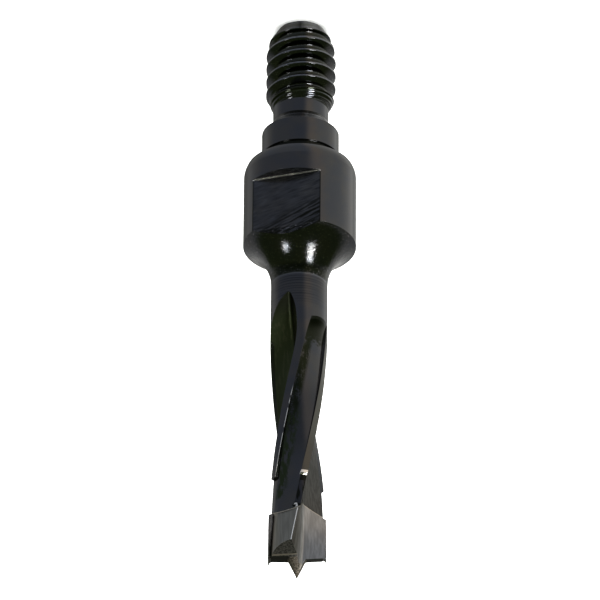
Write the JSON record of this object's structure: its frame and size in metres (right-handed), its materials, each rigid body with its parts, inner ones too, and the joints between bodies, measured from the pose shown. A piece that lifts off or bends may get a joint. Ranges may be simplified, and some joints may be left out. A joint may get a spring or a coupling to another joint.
{
  "type": "dowel drill bit",
  "caption": "Dowel drill with a threaded shank, a pilot, a collar with a wrench flat and a brazed carbide head.",
  "frame": {"origin": "centre of the flat end of the threaded shank, on which the drill stands", "axes": "+Z along the drill's axis, from the threaded end to the centre point; the wrench flat faces -Y"},
  "size_m": [0.016, 0.016, 0.0882],
  "materials": {
    "blackened_steel": "blackened, satin",
    "braze": "as brazed, ground flush",
    "carbide": "ground, satin"
  },
  "bodies": {
    "root": {"steel_body": "blackened_steel", "braze_joint": "braze", "carbide_head": "carbide"}
  },
  "joints": []
}
